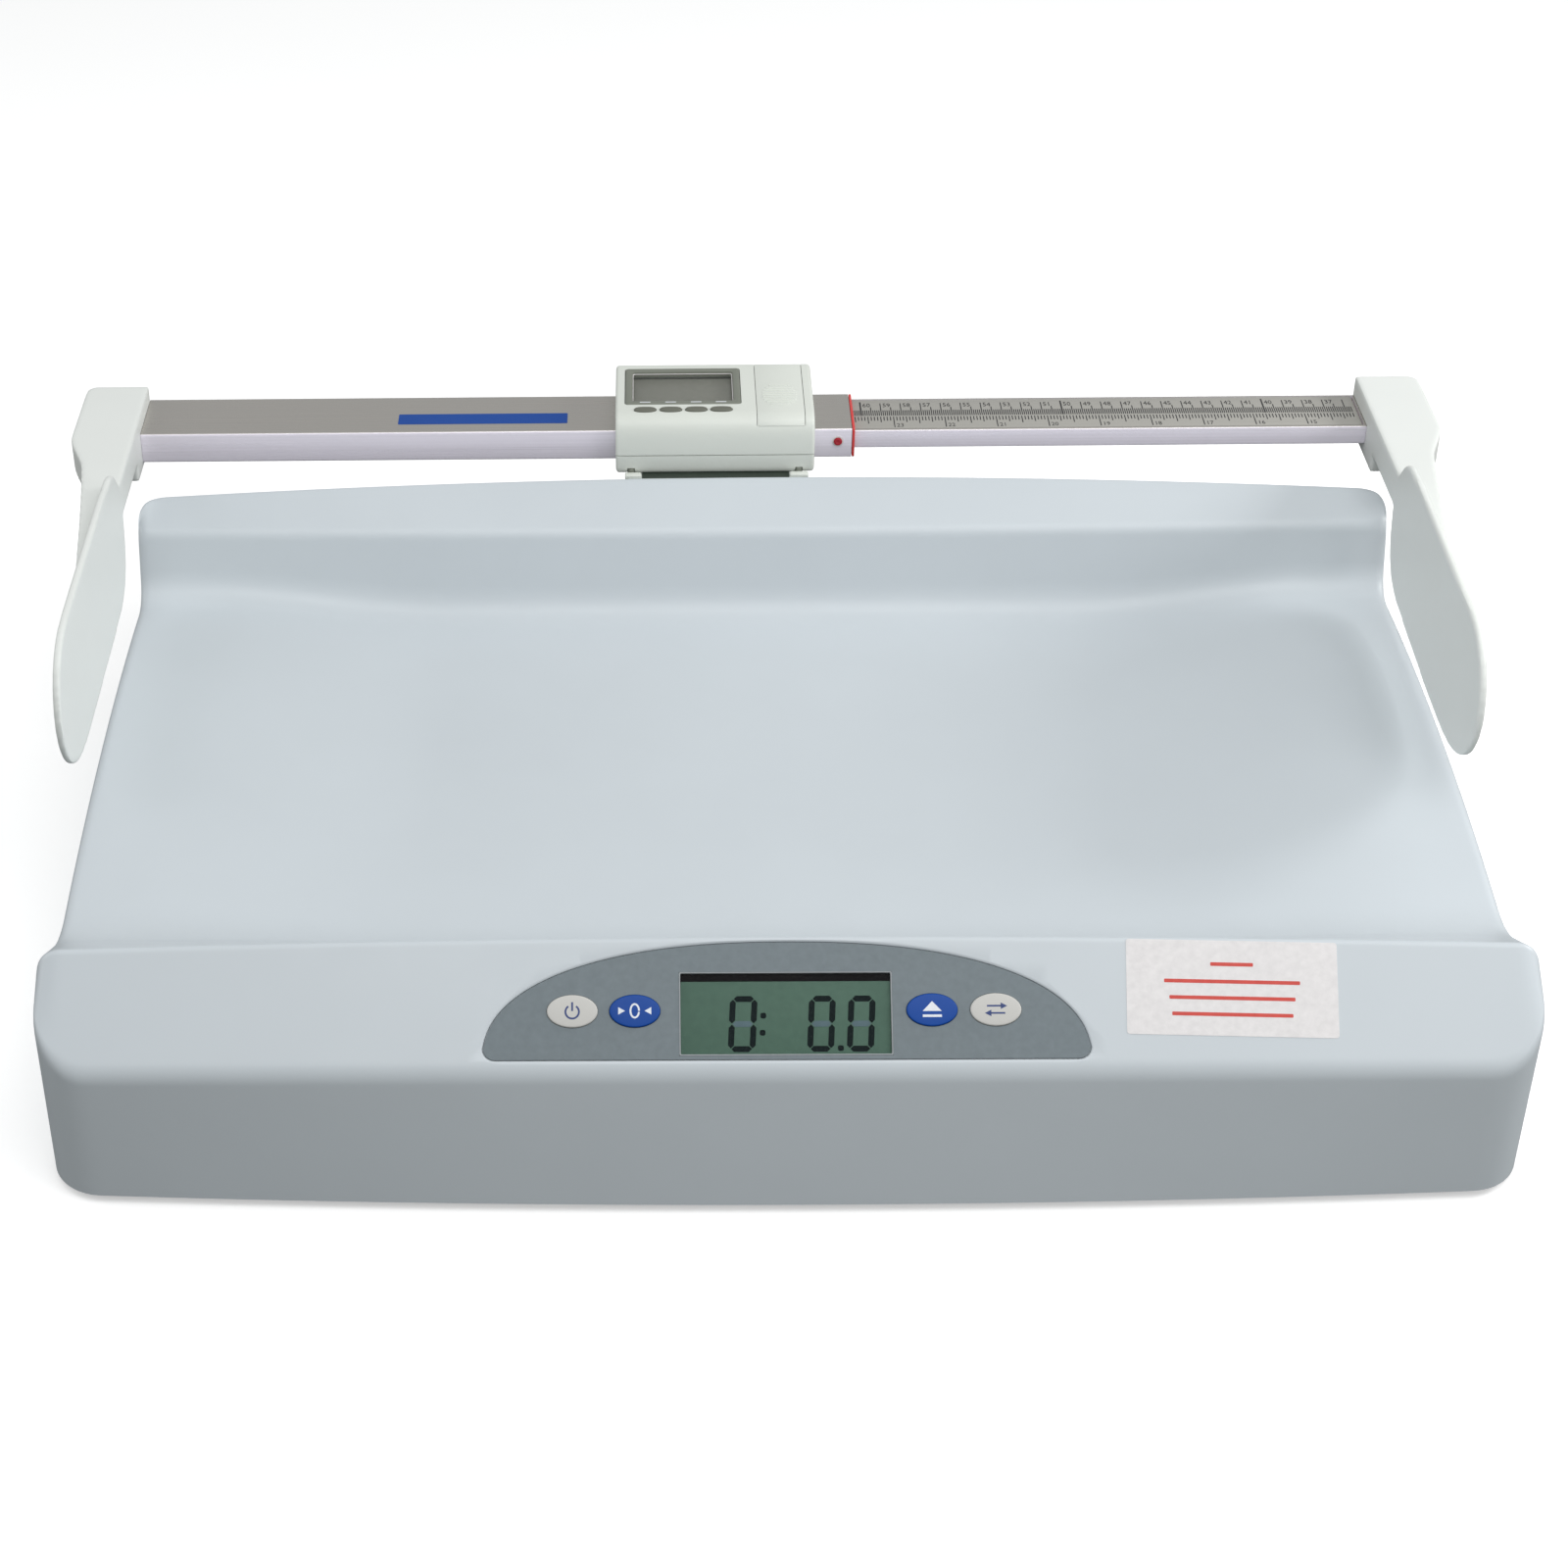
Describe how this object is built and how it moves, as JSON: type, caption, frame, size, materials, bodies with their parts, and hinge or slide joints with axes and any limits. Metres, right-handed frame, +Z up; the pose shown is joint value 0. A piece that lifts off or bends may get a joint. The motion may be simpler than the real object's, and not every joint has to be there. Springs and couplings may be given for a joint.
{
  "type": "infant tray scale",
  "caption": "Low cradle-shaped tray scale with a sloping display panel and keys, and a telescoping length rod with a digital reader and two end paddles behind it.",
  "frame": {"origin": "on the floor under the middle of the whole object's box", "axes": "+Z up, +X to the user's right along the tray and the rod, -Y to the display panel"},
  "size_m": [0.666, 0.449, 0.168],
  "materials": {
    "shell_plastic": "smooth moulded, satin",
    "pan_plastic": "fine texture",
    "steel": "zinc plated",
    "foot_rubber": "matt",
    "cell_aluminium": "machined",
    "black_plastic": "matt",
    "battery": "plain sleeve",
    "overlay_film": "fine matt film",
    "display_glass": "clear",
    "display_lcd": "grey green display",
    "key_white": "satin",
    "key_blue": "satin",
    "circuit_board": "solder mask",
    "label_film": "plain film",
    "bracket_plastic": "matt",
    "rod_aluminium": "satin anodised",
    "red_plastic": "satin",
    "encoder_copper": "etched strip",
    "tape_print": "printed rule",
    "head_plastic": "fine texture",
    "reader_glass": "clear pane with a grey border",
    "reader_display": "grey display",
    "reader_key_plastic": "matt",
    "coin_cell_steel": "bright",
    "paddle_plastic": "satin"
  },
  "bodies": {
    "scale": {"tray_shell": "shell_plastic", "base_pan": "pan_plastic", "chassis": "steel", "foot_stud_front_left": "steel", "foot_stud_front_right": "steel", "foot_stud_rear_left": "steel", "foot_stud_rear_right": "steel", "case_screw_1": "steel", "case_screw_2": "steel", "case_screw_3": "steel", "case_screw_4": "steel", "bracket_screw_1": "steel", "bracket_screw_2": "steel", "clamp_screw": "steel", "left_paddle_screw": "steel", "foot_pad_front_left": "foot_rubber", "foot_pad_front_right": "foot_rubber", "foot_pad_rear_left": "foot_rubber", "foot_pad_rear_right": "foot_rubber", "load_cell_front_left": "cell_aluminium", "load_cell_front_right": "cell_aluminium", "load_cell_rear_left": "cell_aluminium", "load_cell_rear_right": "cell_aluminium", "battery_box": "black_plastic", "cell_1": "battery", "cell_2": "battery", "cell_3": "battery", "cell_4": "battery", "overlay": "overlay_film", "display_window": "display_glass", "display_module": "display_lcd", "main_board": "circuit_board", "reader_board": "circuit_board", "notice_blank": "label_film", "rod_bracket": "bracket_plastic", "rod_sleeve": "rod_aluminium", "index_ring": "red_plastic", "sleeve_rivet": "red_plastic", "reader_top_case": "head_plastic", "reader_bottom_case": "head_plastic", "reader_window": "reader_glass", "reader_lcd": "reader_display", "reader_cell": "coin_cell_steel", "left_paddle": "paddle_plastic"},
    "sliding_arm": {"inner_rod": "rod_aluminium", "rod_slipper": "black_plastic", "encoder_strip": "encoder_copper", "scale_tape": "tape_print", "right_paddle": "paddle_plastic", "right_paddle_screw": "steel"},
    "key_on_off": {"key_on_off": "key_white"},
    "key_zero": {"key_zero": "key_blue"},
    "key_release": {"key_release": "key_blue"},
    "key_units": {"key_units": "key_white"},
    "reader_key_1": {"reader_key_1": "reader_key_plastic"},
    "reader_key_2": {"reader_key_2": "reader_key_plastic"},
    "reader_key_3": {"reader_key_3": "reader_key_plastic"},
    "reader_key_4": {"reader_key_4": "reader_key_plastic"},
    "battery_hatch": {"battery_hatch": "pan_plastic"},
    "reader_door": {"reader_door": "head_plastic"}
  },
  "joints": [
    {"name": "rod_extension", "type": "slide", "parent": "scale", "child": "sliding_arm", "axis": [1, 0, 0], "range_m": [-0.2505, 0.036]},
    {"name": "key_on_off_press", "type": "slide", "parent": "scale", "child": "key_on_off", "axis": [0, 0.669, -0.7433], "range_m": [0, 0.0006], "stiffness_N_per_m": 2500},
    {"name": "key_zero_press", "type": "slide", "parent": "scale", "child": "key_zero", "axis": [0, 0.669, -0.7433], "range_m": [0, 0.0006], "stiffness_N_per_m": 2500},
    {"name": "key_release_press", "type": "slide", "parent": "scale", "child": "key_release", "axis": [0, 0.669, -0.7433], "range_m": [0, 0.0006], "stiffness_N_per_m": 2500},
    {"name": "key_units_press", "type": "slide", "parent": "scale", "child": "key_units", "axis": [0, 0.669, -0.7433], "range_m": [0, 0.0006], "stiffness_N_per_m": 2500},
    {"name": "reader_key_1_press", "type": "slide", "parent": "scale", "child": "reader_key_1", "axis": [0, 0, -1], "range_m": [0, 0.0006], "stiffness_N_per_m": 2000},
    {"name": "reader_key_2_press", "type": "slide", "parent": "scale", "child": "reader_key_2", "axis": [0, 0, -1], "range_m": [0, 0.0006], "stiffness_N_per_m": 2000},
    {"name": "reader_key_3_press", "type": "slide", "parent": "scale", "child": "reader_key_3", "axis": [0, 0, -1], "range_m": [0, 0.0006], "stiffness_N_per_m": 2000},
    {"name": "reader_key_4_press", "type": "slide", "parent": "scale", "child": "reader_key_4", "axis": [0, 0, -1], "range_m": [0, 0.0006], "stiffness_N_per_m": 2000},
    {"name": "battery_hatch_slide", "type": "slide", "parent": "scale", "child": "battery_hatch", "axis": [0, 1, 0], "range_m": [0, 0.0075]},
    {"name": "reader_door_slide", "type": "slide", "parent": "scale", "child": "reader_door", "axis": [0, 1, 0], "range_m": [0, 0.02]}
  ]
}
